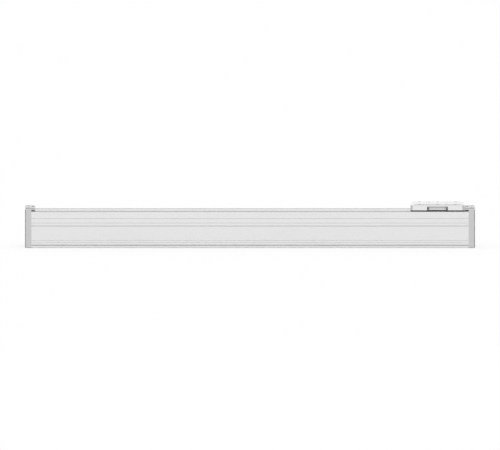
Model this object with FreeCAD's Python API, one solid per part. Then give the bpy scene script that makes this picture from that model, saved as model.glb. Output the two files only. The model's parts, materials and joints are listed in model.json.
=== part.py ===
import FreeCAD, Part
import math
import os

from FreeCAD import Vector

# Passive guide axis, in millimetres. X runs along the travel, the front is at -Y, Z is up,
# and the origin is the middle of the mounting face. The slide stands at its right-hand stop.

# Lengths along the travel
stroke = 500.0
table_length = 66.6
wiper_thickness = 2.7
end_gap = 0.3
clamp_overhang = 5.2
cap_thickness = 8.5

# Heights, stacked from the mounting face up to the table
floor_thickness = 6.5
guide_height = 24.0
saddle_floor = 6.0
leg_height = 13.8
slide_gap = 1.3
table_thickness = 7.7

# Widths, stacked from the middle out to the side of the profile
strip_width = 32.2
strip_gap = 0.5
leg_thickness = 4.6
leg_gap = 0.6
flange_width = 8.2
wall_thickness = 4.5

# Clearances shared by the fits
thread_fit = 0.05
hole_clearance = 0.25
running_gap = 0.3
ball_fit = 0.08

# Profile section
edge_chamfer = 0.8
slot_chamfer = 0.4
inner_fillet = 1.0
head_height = 9.5
foot_height = 8.0
underside_relief = 0.6
underside_relief_width = 28.0
clamp_groove_lip = 2.7
clamp_groove_height = 1.9
clamp_groove_depth = 3.0
low_line_heights = (7.3, 10.0)
low_line_width = 0.5
low_line_depth = 0.2
deep_line_drop = 19.6
deep_line_width = 1.2
deep_line_depth = 0.5
high_line_drops = (15.6, 9.8)
high_line_width = 0.6
high_line_depth = 0.25
rail_rib_height = 1.5
rail_rib_width = 1.6
channel_inset = 3.4
channel_drop = 5.5
channel_rise = 3.1
base_thread_depth = 5.0
base_thread_inset = 51.5
base_thread_spacing = 36.0

# Ball rail
rail_width = 15.0
rail_height = 13.0
rail_edge = 0.7
rail_end_gap = 1.0
rail_hole_pitch = 60.0
rail_hole_margin = 16.0
rail_counterbore = 5.3
rail_thread_depth = 4.8
plug_thickness = 1.0

# Ball runner
block_width = 34.0
block_length = 40.0
block_lift = 4.0
block_shoulder = 2.0
ball_radius = 1.6
ball_offset = 0.6
lower_ball_height = 6.4
upper_ball_height = 10.9
return_inset = 4.2
return_radius = 1.75
runner_cap_length = 8.0
runner_cap_inset = 0.4
runner_cap_fillet = 2.0
runner_seal_thickness = 1.5
runner_seal_inset = 0.9
runner_screw_spacing = 20.0
runner_screw_height = 18.5
runner_thread_depth = 5.0

# Saddle and its screws
saddle_length = 60.0
saddle_fillet = 1.5
saddle_screw_spacing_x = 26.0
saddle_screw_spacing_y = 24.0
saddle_thread_depth = 6.0

# Table, seal and end plates
table_bevel_length = 2.5
table_bevel_drop = 1.0
table_edge_chamfer = 0.6
notch_width = 28.0
notch_height = 5.1
notch_depth = 4.0
lug_thread_spacing = 25.2
lug_thread_height = 1.8
lug_thread_depth = 4.5
table_thread_spacing_x = 24.0
table_thread_spacing_y = 44.0
table_thread_depth = 5.2
table_screw_spacing = 24.0
table_screw_length = 12.0
seal_inset = 0.4
seal_seat = 1.4
seal_clearance = 0.7
wiper_inset = 0.3
wiper_fillet = 1.5
wiper_screw_spacing = 40.0
wiper_screw_height = 3.3
wiper_thread_depth = 4.0

# Cover strip and the ends
strip_thickness = 0.4
strip_tail = 6.0
pocket_depth = 6.5
cap_rise = 2.0
cap_fillet = 1.2
clamp_thickness = 2.0
clamp_inset = 0.4
clamp_chamfer = 0.8
clamp_screw_inset = 4.5
clamp_screw_offset = 3.1
clamp_screw_length = 6.0
clamp_slot_inset = 3.2
clamp_slot_length = 22.8
clamp_slot_width = 2.4
clamp_slot_depth = 0.6
pad_setback = 0.5
pad_inset = 0.4
cap_thread_depth = 12.0
buffer_radius = 4.0
buffer_spacing = 20.0
buffer_fillet = 1.0
buffer_stem_radius = 2.0
buffer_stem_length = 4.0

# Screws: shank radius, head radius, head height and key width across flats
m5_core_radius = 2.1
m4_radius = 2.0
m4_head_radius = 3.5
m4_head_height = 4.0
m4_key = 3.0
m3_radius = 1.5
m3_core_radius = 1.25
m3_head_radius = 3.0
m3_head_height = 1.7
m3_key = 2.0
small_radius = 1.25
small_head_radius = 2.25
small_head_height = 1.5
small_key = 1.5
key_depth_share = 0.55

# Places along X
slide_length = table_length + 2 * wiper_thickness
cap_inner = stroke / 2 + slide_length / 2 + end_gap + clamp_overhang
half_length = cap_inner + cap_thickness
slide_x = stroke / 2

# Places along Z
block_top = floor_thickness + guide_height
saddle_top = block_top + saddle_floor
table_under = saddle_top + leg_height
table_top = table_under + table_thickness
profile_height = table_under - slide_gap
strip_under = profile_height - strip_thickness
cap_top = profile_height + cap_rise
clamp_top = cap_top + clamp_thickness
upper_channel = profile_height - channel_drop
lower_channel = floor_thickness + channel_rise
rail_top = floor_thickness + rail_height

# Places along Y
leg_inner = strip_width / 2 + strip_gap
leg_outer = leg_inner + leg_thickness
leg_middle = (leg_inner + leg_outer) / 2
flange_inner = leg_outer + leg_gap
half_width = flange_inner + flange_width
cavity_half = half_width - wall_thickness
channel_y = flange_inner + channel_inset
ball_y = rail_width / 2 + ball_offset
pocket_half = strip_width / 2 + running_gap
clamp_screw_y = pocket_half + clamp_screw_offset


def rounded_corner(before, at, after, radius):
    """Start, middle and end of the arc that rounds one corner of an outline."""
    if radius == 0:
        return at, None, at
    back = (before - at).normalize()
    ahead = (after - at).normalize()
    half_angle = back.getAngle(ahead) / 2
    reach = radius / math.tan(half_angle)
    middle = at + (back + ahead).normalize() * (radius / math.sin(half_angle) - radius)
    return at + back * reach, middle, at + ahead * reach


def outline_face(corners, place):
    """Face inside the (u, v) or (u, v, radius) corners, put in space by place(u, v)."""
    points = [Vector(corner[0], corner[1], 0) for corner in corners]
    radii = [corner[2] if len(corner) == 3 else 0 for corner in corners]
    count = len(points)
    turns = []
    for i in range(count):
        turns.append(rounded_corner(points[i - 1], points[i], points[(i + 1) % count], radii[i]))
    edges = []
    for i, (start, middle, end) in enumerate(turns):
        if middle:
            arc = [place(p.x, p.y) for p in (start, middle, end)]
            edges.append(Part.Arc(*arc).toShape())
        following = turns[(i + 1) % count][0]
        edges.append(Part.LineSegment(place(end.x, end.y), place(following.x, following.y)).toShape())
    return Part.Face(Part.Wire(edges))


def along_x(corners, start, end):
    """Solid of a (y, z) outline drawn out from x = start to x = end."""
    face = outline_face(corners, lambda y, z: Vector(start, y, z))
    return face.extrude(Vector(end - start, 0, 0))


def along_y(corners, start, end):
    """Solid of an (x, z) outline drawn out from y = start to y = end."""
    face = outline_face(corners, lambda x, z: Vector(x, start, z))
    return face.extrude(Vector(0, end - start, 0))


def box(x0, x1, y0, y1, z0, z1):
    """Block between the given limits."""
    return Part.makeBox(x1 - x0, y1 - y0, z1 - z0, Vector(x0, y0, z0))


def bore(radius, start, end):
    """Cylinder between two points, for a hole or a pin."""
    axis = end - start
    return Part.makeCylinder(radius, axis.Length, start, axis)


def both_sides(right):
    """Closed section from its right half, which runs up from the middle and back to it."""
    left = [(-corner[0], *corner[1:]) for corner in reversed(right)]
    return right + left


def edges_where(shape, test):
    """Edges whose ends all pass the test."""
    return [edge for edge in shape.Edges if all(test(v.Point) for v in edge.Vertexes)]


def near(a, b):
    """True where two places are the same."""
    return abs(a - b) < 1e-6


def at_left(shape):
    """Copy of a right-hand end piece, turned round to the left-hand end."""
    turned = shape.copy()
    turned.rotate(Vector(0, 0, 0), Vector(0, 0, 1), 180)
    return turned


def across_slide(shape):
    """Copy of a piece of the slide, turned round to the slide's other end."""
    turned = shape.copy()
    turned.rotate(Vector(slide_x, 0, 0), Vector(0, 0, 1), 180)
    return turned


def key_socket(key, top, depth):
    """Hexagonal key recess, cut down from height top."""
    radius = key / math.sqrt(3)
    corners = [Vector(radius * math.cos(i * math.pi / 3), radius * math.sin(i * math.pi / 3), top)
               for i in range(6)]
    return Part.Face(Part.makePolygon(corners + corners[:1])).extrude(Vector(0, 0, -depth))


def set_screw_down(screw, seat, direction):
    """Turn a screw that points down to the given direction and move its origin to the seat."""
    screw.Placement = FreeCAD.Placement(seat, FreeCAD.Rotation(Vector(0, 0, -1), direction))
    return screw


def cylinder_screw(radius, length, head_radius, head_height, key, seat, direction):
    """Socket head screw whose head stands on the seat and whose shank runs along direction."""
    shank = bore(radius, Vector(0, 0, 0), Vector(0, 0, -length))
    head = bore(head_radius, Vector(0, 0, 0), Vector(0, 0, head_height))
    socket = key_socket(key, head_height, head_height * key_depth_share)
    return set_screw_down(head.fuse(shank).cut(socket).removeSplitter(), seat, direction)


def countersink(extra, seat, direction):
    """Cone of an M3 countersunk head, grown by extra, whose flat top lies on the seat."""
    cone = Part.makeCone(m3_head_radius + extra, m3_radius + extra, m3_head_height, seat, direction)
    return cone


def countersunk_screw(length, seat, direction):
    """M3 countersunk screw, flush with the seat."""
    shank = bore(m3_radius, Vector(0, 0, 0), Vector(0, 0, -length))
    head = countersink(0, Vector(0, 0, 0), Vector(0, 0, -1))
    socket = key_socket(m3_key, 0, m3_head_height * key_depth_share)
    return set_screw_down(head.fuse(shank).cut(socket).removeSplitter(), seat, direction)


def channel_places():
    """(y, z) of the four screw channels at the profile's corners."""
    return [(side * channel_y, z) for side in (-1, 1) for z in (lower_channel, upper_channel)]


def rail_hole_places():
    """x of the rail's mounting holes, evenly pitched about the middle."""
    usable = 2 * (cap_inner - rail_end_gap - rail_hole_margin)
    gaps = int(usable // rail_hole_pitch)
    return [(i - gaps / 2) * rail_hole_pitch for i in range(gaps + 1)]


def side_line(z, width, depth):
    """Shallow V groove along the side of the profile."""
    return [(half_width, z - width / 2), (half_width - depth, z), (half_width, z + width / 2)]


def profile_section():
    """Outline of the open-topped extrusion."""
    relief_half = underside_relief_width / 2
    groove_top = clamp_groove_lip + clamp_groove_height
    head_under = profile_height - head_height
    foot_top = floor_thickness + foot_height
    step = cavity_half - flange_inner
    rib_inner = rail_width / 2 + thread_fit
    rib_outer = rib_inner + rail_rib_width
    rib_top = floor_thickness + rail_rib_height
    right = [
        (relief_half, underside_relief),
        (relief_half + underside_relief, 0),
        (half_width - edge_chamfer, 0),
        (half_width, edge_chamfer),
        (half_width, clamp_groove_lip),
        (half_width - clamp_groove_depth, clamp_groove_lip),
        (half_width - clamp_groove_depth, groove_top),
        (half_width, groove_top),
    ]
    for z in low_line_heights:
        right += side_line(z, low_line_width, low_line_depth)
    right += side_line(profile_height - deep_line_drop, deep_line_width, deep_line_depth)
    for drop in high_line_drops:
        right += side_line(profile_height - drop, high_line_width, high_line_depth)
    right += [
        (half_width, profile_height - edge_chamfer),
        (half_width - edge_chamfer, profile_height),
        (flange_inner + slot_chamfer, profile_height),
        (flange_inner, profile_height - slot_chamfer),
        (flange_inner, head_under, inner_fillet),
        (cavity_half, head_under - step, inner_fillet),
        (cavity_half, foot_top + step, inner_fillet),
        (flange_inner, foot_top, inner_fillet),
        (flange_inner, floor_thickness, inner_fillet),
        (rib_outer, floor_thickness),
        (rib_outer, rib_top),
        (rib_inner, rib_top),
        (rib_inner, floor_thickness),
    ]
    return both_sides(right)


def make_profile():
    """Extrusion with its screw channels, rail threads and base threads."""
    body = along_x(profile_section(), -cap_inner, cap_inner)
    cuts = []
    for y, z in channel_places():
        cuts.append(bore(m4_radius + thread_fit, Vector(-cap_inner, y, z), Vector(cap_inner, y, z)))
    for x in rail_hole_places():
        top = Vector(x, 0, floor_thickness)
        cuts.append(bore(m4_radius + thread_fit, top, top - Vector(0, 0, rail_thread_depth)))
    for x in (base_thread_inset - cap_inner, cap_inner - base_thread_inset):
        for y in (-base_thread_spacing / 2, base_thread_spacing / 2):
            cuts.append(bore(m5_core_radius, Vector(x, y, 0), Vector(x, y, base_thread_depth)))
    return body.cut(cuts)


def make_rail():
    """Ball rail with four raceways and counterbored mounting holes."""
    end = cap_inner - rail_end_gap
    half = rail_width / 2
    section = both_sides([
        (half - rail_edge, floor_thickness),
        (half, floor_thickness + rail_edge),
        (half, rail_top - rail_edge),
        (half - rail_edge, rail_top),
    ])
    cuts = raceways(-end, end)
    for x in rail_hole_places():
        seat = Vector(x, 0, rail_top - rail_counterbore)
        cuts.append(bore(m4_head_radius + hole_clearance, seat, Vector(x, 0, rail_top)))
        cuts.append(bore(m4_radius + hole_clearance, Vector(x, 0, floor_thickness), seat))
    return along_x(section, -end, end).cut(cuts)


def raceways(start, end):
    """The four ball tracks between rail and runner, as cutters along X."""
    tracks = []
    for side in (-1, 1):
        for height in (lower_ball_height, upper_ball_height):
            z = floor_thickness + height
            tracks.append(bore(ball_radius + ball_fit, Vector(start, side * ball_y, z),
                               Vector(end, side * ball_y, z)))
    return tracks


def make_rail_screws():
    """M4 screws that hold the rail on the profile's floor."""
    seat = rail_top - rail_counterbore
    length = seat - floor_thickness + rail_thread_depth - running_gap
    return Part.makeCompound([
        cylinder_screw(m4_radius, length, m4_head_radius, m4_head_height, m4_key,
                       Vector(x, 0, seat), Vector(0, 0, -1))
        for x in rail_hole_places()
    ])


def make_rail_plugs():
    """Plugs that close the rail's counterbores flush with its top."""
    radius = m4_head_radius + hole_clearance - thread_fit
    return Part.makeCompound([
        bore(radius, Vector(x, 0, rail_top - plug_thickness), Vector(x, 0, rail_top))
        for x in rail_hole_places()
    ])


def runner_section(inset, gap, shoulder):
    """Inverted U over the rail, set in from the block's outline and clear of the rail by gap."""
    outer = block_width / 2 - inset
    inner = rail_width / 2 + gap
    low = floor_thickness + block_lift + inset
    roof = rail_top + gap
    return both_sides([
        (inner, roof),
        (inner, low),
        (outer - shoulder, low),
        (outer, low + shoulder),
        (outer, block_top - inset - shoulder),
        (outer - shoulder, block_top - inset),
    ])


def runner_screw_places():
    """(y, z) of the screws at each end of the runner."""
    z = floor_thickness + runner_screw_height
    return [(-runner_screw_spacing / 2, z), (runner_screw_spacing / 2, z)]


def saddle_screw_places():
    """(x, y) of the screws between saddle and runner block."""
    return [(slide_x + i * saddle_screw_spacing_x / 2, j * saddle_screw_spacing_y / 2)
            for i in (-1, 1) for j in (-1, 1)]


def make_runner_block():
    """Steel body of the runner with its raceways, return channels and threads."""
    start = slide_x - block_length / 2
    end = slide_x + block_length / 2
    cuts = raceways(start, end)
    for side in (-1, 1):
        for height in (lower_ball_height, upper_ball_height):
            y = side * (block_width / 2 - return_inset)
            z = floor_thickness + height
            cuts.append(bore(return_radius, Vector(start, y, z), Vector(end, y, z)))
    for y, z in runner_screw_places():
        for x, inward in ((start, 1), (end, -1)):
            cuts.append(bore(small_radius + thread_fit, Vector(x, y, z),
                             Vector(x + inward * runner_thread_depth, y, z)))
    for x, y in saddle_screw_places():
        cuts.append(bore(m4_radius + thread_fit, Vector(x, y, block_top),
                         Vector(x, y, block_top - saddle_thread_depth)))
    return along_x(runner_section(0, running_gap, block_shoulder), start, end).cut(cuts)


def make_runner_cap():
    """Plastic end of the runner, in which the balls turn round."""
    start = slide_x + block_length / 2
    end = start + runner_cap_length
    cap = along_x(runner_section(runner_cap_inset, 2 * running_gap, block_shoulder), start, end)
    rim = edges_where(cap, lambda p: near(p.x, end) and abs(p.y) > rail_width)
    cap = cap.makeFillet(min(runner_cap_fillet, runner_cap_length / 2), rim)
    holes = [bore(small_radius + hole_clearance, Vector(start, y, z), Vector(end, y, z))
             for y, z in runner_screw_places()]
    return cap.cut(holes)


def make_runner_seal():
    """Scraper on the end of the runner cap."""
    start = slide_x + block_length / 2 + runner_cap_length
    end = start + runner_seal_thickness
    inset = runner_cap_inset + runner_cap_fillet + runner_seal_inset
    seal = along_x(runner_section(inset, running_gap, block_shoulder), start, end)
    holes = [bore(small_head_radius + hole_clearance, Vector(start, y, z), Vector(end, y, z))
             for y, z in runner_screw_places()]
    return seal.cut(holes)


def make_runner_cap_screws():
    """Small screws that hold the caps on the runner block."""
    seat = slide_x + block_length / 2 + runner_cap_length
    length = runner_cap_length + runner_thread_depth - running_gap
    right = [
        cylinder_screw(small_radius, length, small_head_radius, small_head_height, small_key,
                       Vector(seat, y, z), Vector(-1, 0, 0))
        for y, z in runner_screw_places()
    ]
    return Part.makeCompound(right + [across_slide(screw) for screw in right])


def table_screw_places():
    """(x, y) of the screws between table and saddle."""
    return [(slide_x + i * table_screw_spacing / 2, j * leg_middle) for i in (-1, 1) for j in (-1, 1)]


def make_saddle():
    """Carrier on the runner, with a leg up through each of the two top slots."""
    section = both_sides([
        (leg_outer, block_top),
        (leg_outer, table_under),
        (leg_inner, table_under),
        (leg_inner, saddle_top, saddle_fillet),
    ])
    saddle = along_x(section, slide_x - saddle_length / 2, slide_x + saddle_length / 2)
    cuts = []
    for x, y in saddle_screw_places():
        seat = Vector(x, y, saddle_top - m4_head_height)
        cuts.append(bore(m4_head_radius + hole_clearance, seat, Vector(x, y, saddle_top)))
        cuts.append(bore(m4_radius + hole_clearance, Vector(x, y, block_top), seat))
    thread = table_screw_length - table_thickness + running_gap
    for x, y in table_screw_places():
        cuts.append(bore(m3_radius + thread_fit, Vector(x, y, table_under),
                         Vector(x, y, table_under - thread)))
    return saddle.cut(cuts)


def make_saddle_screws():
    """M4 screws that hold the saddle on the runner block."""
    seat = saddle_top - m4_head_height
    length = seat - block_top + saddle_thread_depth - running_gap
    return Part.makeCompound([
        cylinder_screw(m4_radius, length, m4_head_radius, m4_head_height, m4_key,
                       Vector(x, y, seat), Vector(0, 0, -1))
        for x, y in saddle_screw_places()
    ])


def wiper_screw_places():
    """(y, z) of the screws in each end plate of the slide."""
    z = table_under + wiper_screw_height
    return [(-wiper_screw_spacing / 2, z), (wiper_screw_spacing / 2, z)]


def make_table():
    """Table plate with bevelled ends, side notches and its patterns of holes."""
    half = table_length / 2
    shoulder = table_top - table_bevel_drop
    table = along_y([
        (slide_x - half, table_under),
        (slide_x + half, table_under),
        (slide_x + half, shoulder),
        (slide_x + half - table_bevel_length, table_top),
        (slide_x - half + table_bevel_length, table_top),
        (slide_x - half, shoulder),
    ], -half_width, half_width)
    long_edges = edges_where(table, lambda p: near(p.z, table_top))
    long_edges = [edge for edge in long_edges if near(abs(edge.CenterOfMass.y), half_width)]
    table = table.makeChamfer(table_edge_chamfer, long_edges)
    return table.cut(table_notches() + table_holes())


def table_notches():
    """Cutters for the notch in each side and for the two lug threads in the front one."""
    cuts = []
    floor_y = half_width - notch_depth
    for side in (-1, 1):
        near_y, far_y = sorted((side * floor_y, side * half_width))
        cuts.append(box(slide_x - notch_width / 2, slide_x + notch_width / 2, near_y, far_y,
                        table_under, table_under + notch_height))
    for end in (-1, 1):
        mouth = Vector(slide_x + end * lug_thread_spacing / 2, -floor_y, table_under + lug_thread_height)
        cuts.append(bore(m3_core_radius, mouth, mouth + Vector(0, lug_thread_depth, 0)))
    return cuts


def table_holes():
    """Cutters for the table's tapped holes, its own screws and the end plates' threads."""
    up = Vector(0, 0, 1)
    cuts = []
    for i in (-1, 0, 1):
        for j in (-1, 1):
            top = Vector(slide_x + i * table_thread_spacing_x, j * table_thread_spacing_y / 2, table_top)
            cuts.append(bore(m5_core_radius, top, top - up * table_thread_depth))
    for x, y in table_screw_places():
        top = Vector(x, y, table_top)
        cuts.append(countersink(thread_fit, top, -up))
        cuts.append(bore(m3_radius + hole_clearance, Vector(x, y, table_under), top))
    for y, z in wiper_screw_places():
        for end in (-1, 1):
            face = Vector(slide_x + end * table_length / 2, y, z)
            cuts.append(bore(small_radius + thread_fit, face,
                             face - Vector(end * wiper_thread_depth, 0, 0)))
    return cuts


def make_table_screws():
    """M3 countersunk screws that hold the table on the saddle's legs."""
    return Part.makeCompound([
        countersunk_screw(table_screw_length, Vector(x, y, table_top), Vector(0, 0, -1))
        for x, y in table_screw_places()
    ])


def make_wiper():
    """End plate of the slide, with rounded upper corners and two counterbored holes."""
    start = slide_x + table_length / 2
    end = start + wiper_thickness
    half = half_width - wiper_inset
    top = table_top - table_bevel_drop
    plate = along_x([
        (-half, table_under),
        (half, table_under),
        (half, top, wiper_fillet),
        (-half, top, wiper_fillet),
    ], start, end)
    cuts = []
    for y, z in wiper_screw_places():
        seat = Vector(end - small_head_height, y, z)
        cuts.append(bore(small_head_radius + hole_clearance, seat, Vector(end, y, z)))
        cuts.append(bore(small_radius + hole_clearance, Vector(start, y, z), seat))
    return plate.cut(cuts)


def make_wiper_screws():
    """Small screws that hold the end plates on the table."""
    seat = slide_x + table_length / 2 + wiper_thickness - small_head_height
    length = wiper_thickness - small_head_height + wiper_thread_depth - running_gap
    right = [
        cylinder_screw(small_radius, length, small_head_radius, small_head_height, small_key,
                       Vector(seat, y, z), Vector(-1, 0, 0))
        for y, z in wiper_screw_places()
    ]
    return Part.makeCompound(right + [across_slide(screw) for screw in right])


def make_slide_seal():
    """Frame-shaped seal under the table, held behind its notches and clear of the saddle."""
    low = profile_height + running_gap
    half_x = slide_length / 2 - running_gap
    half_y = half_width - seal_inset
    inner_x = saddle_length / 2 + seal_clearance
    inner_y = half_width - notch_depth - seal_seat
    outer = box(slide_x - half_x, slide_x + half_x, -half_y, half_y, low, table_under)
    inner = box(slide_x - inner_x, slide_x + inner_x, -inner_y, inner_y, low, table_under)
    return outer.cut(inner)


def make_strip():
    """Flat cover strip, level with the profile's top, whose ends lie in the caps."""
    end = cap_inner + strip_tail
    half = strip_width / 2
    return box(-end, end, -half, half, strip_under, profile_height)


def make_cap():
    """Right-hand end cap with its strip pocket, counterbores and buffer holes."""
    cap = along_x([
        (-half_width + edge_chamfer, 0),
        (half_width - edge_chamfer, 0),
        (half_width, edge_chamfer),
        (half_width, cap_top),
        (-half_width, cap_top),
        (-half_width, edge_chamfer),
    ], cap_inner, half_length)
    rim = edges_where(cap, lambda p: near(p.x, half_length))
    rim = [edge for edge in rim if not near(edge.CenterOfMass.z, cap_top)]
    cap = cap.makeFillet(cap_fillet, rim)
    cuts = [box(cap_inner, cap_inner + pocket_depth, -pocket_half, pocket_half, strip_under, cap_top)]
    for y, z in channel_places():
        seat = Vector(half_length - m4_head_height - running_gap, y, z)
        cuts.append(bore(m4_head_radius + hole_clearance, seat, Vector(half_length, y, z)))
        cuts.append(bore(m4_radius + hole_clearance, Vector(cap_inner, y, z), seat))
    for x, y in clamp_screw_places():
        depth = clamp_screw_length - clamp_thickness + running_gap
        cuts.append(bore(m3_radius + thread_fit, Vector(x, y, cap_top), Vector(x, y, cap_top - depth)))
    for place in buffer_places():
        cuts.append(bore(buffer_stem_radius + thread_fit, place,
                         place + Vector(buffer_stem_length + running_gap, 0, 0)))
    return cap.cut(cuts)


def make_cap_screws():
    """M4 screws that hold the right-hand cap in the profile's screw channels."""
    seat = half_length - m4_head_height - running_gap
    return Part.makeCompound([
        cylinder_screw(m4_radius, seat - cap_inner + cap_thread_depth, m4_head_radius,
                       m4_head_height, m4_key, Vector(seat, y, z), Vector(-1, 0, 0))
        for y, z in channel_places()
    ])


def clamp_screw_places():
    """(x, y) of the screws in the right-hand strip clamp."""
    x = half_length - clamp_screw_inset
    return [(x, -clamp_screw_y), (x, clamp_screw_y)]


def make_clamp():
    """Plate on the right-hand cap that holds the strip's end down and reaches over it."""
    half = half_width - clamp_inset
    plate = box(cap_inner - clamp_overhang, half_length - clamp_inset, -half, half, cap_top, clamp_top)
    plate = plate.makeChamfer(clamp_chamfer, edges_where(plate, lambda p: near(p.z, clamp_top)))
    cuts = []
    for x, y in clamp_screw_places():
        top = Vector(x, y, clamp_top)
        cuts.append(countersink(thread_fit, top, Vector(0, 0, -1)))
        cuts.append(bore(m3_radius + hole_clearance, Vector(x, y, cap_top), top))
    return plate.cut(cuts + clamp_slot())


def clamp_slot():
    """Cutters for the round-ended slot across the right-hand strip clamp."""
    x = cap_inner - clamp_overhang + clamp_slot_inset
    radius = clamp_slot_width / 2
    reach = clamp_slot_length / 2 - radius
    floor = clamp_top - clamp_slot_depth
    ends = [bore(radius, Vector(x, y, floor), Vector(x, y, clamp_top)) for y in (-reach, reach)]
    return ends + [box(x - radius, x + radius, -reach, reach, floor, clamp_top)]


def make_clamp_screws():
    """M3 countersunk screws that hold the right-hand strip clamp."""
    return Part.makeCompound([
        countersunk_screw(clamp_screw_length, Vector(x, y, clamp_top), Vector(0, 0, -1))
        for x, y in clamp_screw_places()
    ])


def make_pad():
    """Rubber pad between the strip's right-hand end and its clamp."""
    start = cap_inner - clamp_overhang + pad_setback
    half = strip_width / 2 - pad_inset
    return box(start, cap_inner + strip_tail, -half, half, profile_height, cap_top)


def buffer_places():
    """Points on the right-hand cap's inner face where the buffers sit."""
    z = block_top + saddle_floor / 2
    return [Vector(cap_inner, side * buffer_spacing / 2, z) for side in (-1, 1)]


def make_buffers():
    """Pair of rubber stops on the right-hand cap, in line with the saddle's end."""
    face = stroke / 2 + saddle_length / 2 + end_gap
    buffers = []
    for place in buffer_places():
        head = bore(buffer_radius, place, Vector(face, place.y, place.z))
        tip = [edge for edge in head.Edges if near(edge.CenterOfMass.x, face)]
        head = head.makeFillet(buffer_fillet, tip)
        stem = bore(buffer_stem_radius, place, place + Vector(buffer_stem_length, 0, 0))
        buffers.append(head.fuse(stem).removeSplitter())
    return Part.makeCompound(buffers)


right_end = {
    "end_cap": make_cap(),
    "cap_screws": make_cap_screws(),
    "strip_clamp": make_clamp(),
    "clamp_pad": make_pad(),
    "clamp_screws": make_clamp_screws(),
    "buffers": make_buffers(),
}
right_of_slide = {
    "runner_cap": make_runner_cap(),
    "runner_seal": make_runner_seal(),
    "wiper": make_wiper(),
}
nodes = {
    "profile": make_profile(),
    "guide_rail": make_rail(),
    "rail_screws": make_rail_screws(),
    "rail_hole_plugs": make_rail_plugs(),
    "cover_strip": make_strip(),
    "runner_block": make_runner_block(),
    "runner_cap_screws": make_runner_cap_screws(),
    "saddle": make_saddle(),
    "saddle_screws": make_saddle_screws(),
    "table_plate": make_table(),
    "table_screws": make_table_screws(),
    "wiper_screws": make_wiper_screws(),
    "slide_seal": make_slide_seal(),
}
for name, shape in right_end.items():
    nodes["right_" + name] = shape
    nodes["left_" + name] = at_left(shape)
for name, shape in right_of_slide.items():
    nodes["right_" + name] = shape
    nodes["left_" + name] = across_slide(shape)

os.makedirs("parts", exist_ok=True)
for name, shape in nodes.items():
    shape.exportStep("parts/" + name + ".step")
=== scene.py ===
"""Looks of a passive guide axis: an extruded profile with end caps, and a table that slides along it."""

import json
import logging
import math
from dataclasses import dataclass
from enum import Enum
from typing import Self

import bpy
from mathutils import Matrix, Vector


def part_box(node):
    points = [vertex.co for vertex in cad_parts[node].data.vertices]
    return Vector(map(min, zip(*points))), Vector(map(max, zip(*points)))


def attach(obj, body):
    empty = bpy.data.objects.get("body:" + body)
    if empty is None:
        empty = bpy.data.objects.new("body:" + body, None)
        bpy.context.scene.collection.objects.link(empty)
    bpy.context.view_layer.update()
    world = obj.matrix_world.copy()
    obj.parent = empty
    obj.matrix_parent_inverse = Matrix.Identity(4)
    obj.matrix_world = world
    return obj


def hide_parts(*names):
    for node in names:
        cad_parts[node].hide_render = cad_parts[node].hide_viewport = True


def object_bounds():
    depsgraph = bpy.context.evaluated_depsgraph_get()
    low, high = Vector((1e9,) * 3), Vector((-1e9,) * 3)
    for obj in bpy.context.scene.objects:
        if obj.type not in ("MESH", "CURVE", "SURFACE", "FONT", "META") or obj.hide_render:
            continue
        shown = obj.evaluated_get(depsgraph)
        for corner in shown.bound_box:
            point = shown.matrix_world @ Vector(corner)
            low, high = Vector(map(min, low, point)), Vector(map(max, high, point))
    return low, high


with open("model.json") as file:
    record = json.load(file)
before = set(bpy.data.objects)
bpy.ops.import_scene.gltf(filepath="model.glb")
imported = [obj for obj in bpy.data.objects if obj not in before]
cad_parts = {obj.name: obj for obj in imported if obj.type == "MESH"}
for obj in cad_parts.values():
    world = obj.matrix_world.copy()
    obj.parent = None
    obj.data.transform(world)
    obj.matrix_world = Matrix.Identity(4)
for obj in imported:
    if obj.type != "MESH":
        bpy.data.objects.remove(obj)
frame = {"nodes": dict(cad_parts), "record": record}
CAD_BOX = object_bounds()

MM = 0.001
SHARP_ANGLE = math.radians(32)
HEXAGON_SECTOR = math.tau / 6
ALONG = Vector((1, 0, 0))
FORWARD = Vector((0, -1, 0))
UP = Vector((0, 0, 1))
DOWN = Vector((0, 0, -1))
log = logging.getLogger("guide_axis")

Colour = tuple[float, float, float]
Socket = bpy.types.NodeSocket
Range = tuple[float, float | Socket]

RISING: Range = (0.0, 1.0)
FALLING: Range = (1.0, 0.0)
WHITE = (1.0, 1.0, 1.0, 1.0)


class End(Enum):
    """The two ends of the axis, by the word that starts their nodes' names."""

    LEFT = "left"
    RIGHT = "right"

    @property
    def outward(self) -> Vector:
        """Direction out of the axis at this end."""
        return ALONG if self is End.RIGHT else -ALONG


class HeadForm(Enum):
    """How a screw's head widens above its seat."""

    CYLINDER = "cylinder"
    COUNTERSUNK = "countersunk"


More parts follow.
